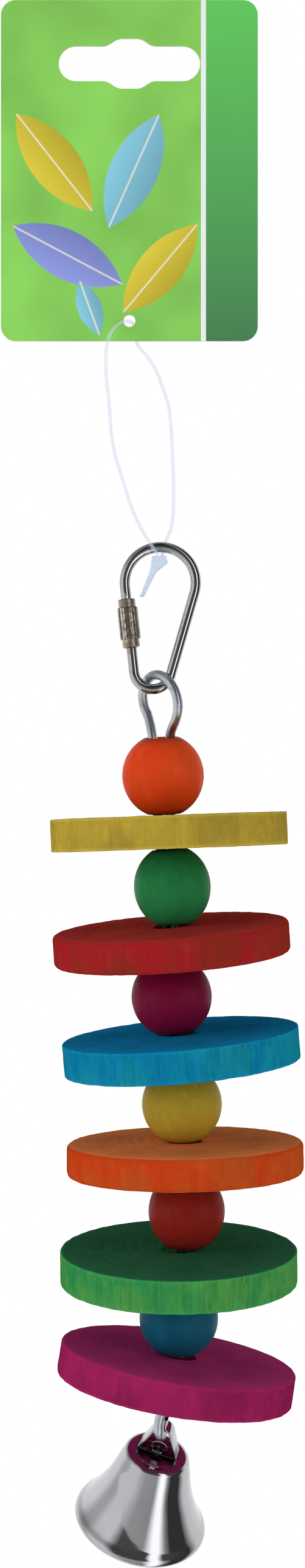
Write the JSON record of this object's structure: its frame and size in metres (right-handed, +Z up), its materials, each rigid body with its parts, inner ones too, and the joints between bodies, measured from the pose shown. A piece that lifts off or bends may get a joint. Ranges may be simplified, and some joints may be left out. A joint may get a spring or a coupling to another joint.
{
  "type": "hanging wooden bird toy",
  "caption": "Hanging cage toy of dyed wooden balls and discs threaded on a bent wire, with a quick link, a metal bell and a header card on a nylon loop.",
  "frame": {"origin": "top centre of the header card's peg slot, where a display peg carries the toy", "axes": "+Z up, +X to the viewer's right, +Y away from the viewer, square to the card"},
  "size_m": [0.0686, 0.054, 0.3546],
  "materials": {
    "printed_card": "gloss-varnished green print on white board",
    "clear_nylon": "milky translucent nylon",
    "nickel_rod": "nickel plate, polished, a little dull inside the bends",
    "browned_sleeve": "straight-knurled nickel plate, browned",
    "galvanised_wire": "bright zinc with draw marks",
    "orange_wood": "food-dyed, satin",
    "yellow_wood": "food-dyed, satin",
    "green_wood": "food-dyed, satin",
    "red_wood": "food-dyed, satin",
    "purple_wood": "food-dyed, satin",
    "blue_wood": "food-dyed, satin",
    "magenta_wood": "food-dyed, satin",
    "plated_bell": "bright nickel plate, fine polishing lines"
  },
  "bodies": {
    "card": {"header_card": "printed_card"},
    "loop": {"tag_loop": "clear_nylon", "loop_lock": "clear_nylon"},
    "link": {"link_body": "nickel_rod"},
    "sleeve": {"link_sleeve": "browned_sleeve"},
    "wire": {"wire_hanger": "galvanised_wire"},
    "orange_ball": {"ball_orange": "orange_wood"},
    "yellow_disc": {"disc_yellow": "yellow_wood"},
    "green_ball": {"ball_green": "green_wood"},
    "red_disc": {"disc_red": "red_wood"},
    "purple_ball": {"ball_purple": "purple_wood"},
    "blue_disc": {"disc_blue": "blue_wood"},
    "yellow_ball": {"ball_yellow": "yellow_wood"},
    "orange_disc": {"disc_orange": "orange_wood"},
    "red_ball": {"ball_red": "red_wood"},
    "green_disc": {"disc_green": "green_wood"},
    "blue_ball": {"ball_blue": "blue_wood"},
    "magenta_disc": {"disc_magenta": "magenta_wood"},
    "bell": {"bell_shell": "plated_bell", "bell_bracket": "plated_bell", "crown_rivet": "plated_bell"},
    "clapper": {"clapper_wire": "galvanised_wire", "clapper_ball": "galvanised_wire"}
  },
  "joints": [
    {"name": "loop_swing", "type": "hinge", "parent": "card", "child": "loop", "pos_m": [0, 0, -0.0641], "axis": [1, 0, 0], "range_deg": [-12, 12]},
    {"name": "link_swing", "type": "hinge", "parent": "loop", "child": "link", "pos_m": [0.007, 0, -0.11515], "axis": [1, 0, 0], "range_deg": [-60, 60]},
    {"name": "sleeve_slide", "type": "slide", "parent": "link", "child": "sleeve", "axis": [0.1062, 0, -0.9943], "range_m": [0, 0.005]},
    {"name": "wire_swing", "type": "hinge", "parent": "link", "child": "wire", "pos_m": [0.00526, 0, -0.14312], "axis": [0, 1, 0], "range_deg": [-20, 20]},
    {"name": "orange_ball_spin", "type": "hinge", "parent": "wire", "child": "orange_ball", "pos_m": [0.00763, 0, -0.16689], "axis": [-0.0386, -0.0697, 0.9968], "continuous": true},
    {"name": "yellow_disc_spin", "type": "hinge", "parent": "wire", "child": "yellow_disc", "pos_m": [0.00896, 0, -0.17964], "axis": [-0.0358, 0.0218, 0.9991], "continuous": true},
    {"name": "green_ball_spin", "type": "hinge", "parent": "wire", "child": "green_ball", "pos_m": [0.00973, 0, -0.19209], "axis": [-0.0659, 0, 0.9978], "continuous": true},
    {"name": "red_disc_spin", "type": "hinge", "parent": "wire", "child": "red_disc", "pos_m": [0.00953, 0, -0.20467], "axis": [-0.075, -0.0452, 0.9962], "continuous": true},
    {"name": "purple_ball_spin", "type": "hinge", "parent": "wire", "child": "purple_ball", "pos_m": [0.00958, 0, -0.21696], "axis": [-0.067, -0.0174, 0.9976], "continuous": true},
    {"name": "blue_disc_spin", "type": "hinge", "parent": "wire", "child": "blue_disc", "pos_m": [0.01175, 0, -0.22902], "axis": [-0.0854, -0.0191, 0.9962], "continuous": true},
    {"name": "yellow_ball_spin", "type": "hinge", "parent": "wire", "child": "yellow_ball", "pos_m": [0.0119, 0, -0.24127], "axis": [-0.0399, 0, 0.9992], "continuous": true},
    {"name": "orange_disc_spin", "type": "hinge", "parent": "wire", "child": "orange_disc", "pos_m": [0.01262, 0, -0.25346], "axis": [-0.0175, 0.0227, 0.9996], "continuous": true},
    {"name": "red_ball_spin", "type": "hinge", "parent": "wire", "child": "red_ball", "pos_m": [0.01297, 0, -0.26554], "axis": [0.0149, 0, 0.9999], "continuous": true},
    {"name": "green_disc_spin", "type": "hinge", "parent": "wire", "child": "green_disc", "pos_m": [0.01119, 0, -0.27775], "axis": [-0.0052, -0.0471, 0.9989], "continuous": true},
    {"name": "blue_ball_spin", "type": "hinge", "parent": "wire", "child": "blue_ball", "pos_m": [0.01119, 0, -0.28983], "axis": [0.0817, 0, 0.9967], "continuous": true},
    {"name": "magenta_disc_spin", "type": "hinge", "parent": "wire", "child": "magenta_disc", "pos_m": [0.01065, 0, -0.30198], "axis": [0.1513, 0.0328, 0.9879], "continuous": true},
    {"name": "bell_swing", "type": "hinge", "parent": "wire", "child": "bell", "pos_m": [0.00729, 0, -0.31281], "axis": [0.9848, -0.1736, 0], "range_deg": [-49, 14]},
    {"name": "clapper_swing", "type": "hinge", "parent": "bell", "child": "clapper", "pos_m": [0.0058, 0.00431, -0.32375], "axis": [0.9645, -0.0767, -0.2527], "range_deg": [-13, 52]}
  ]
}
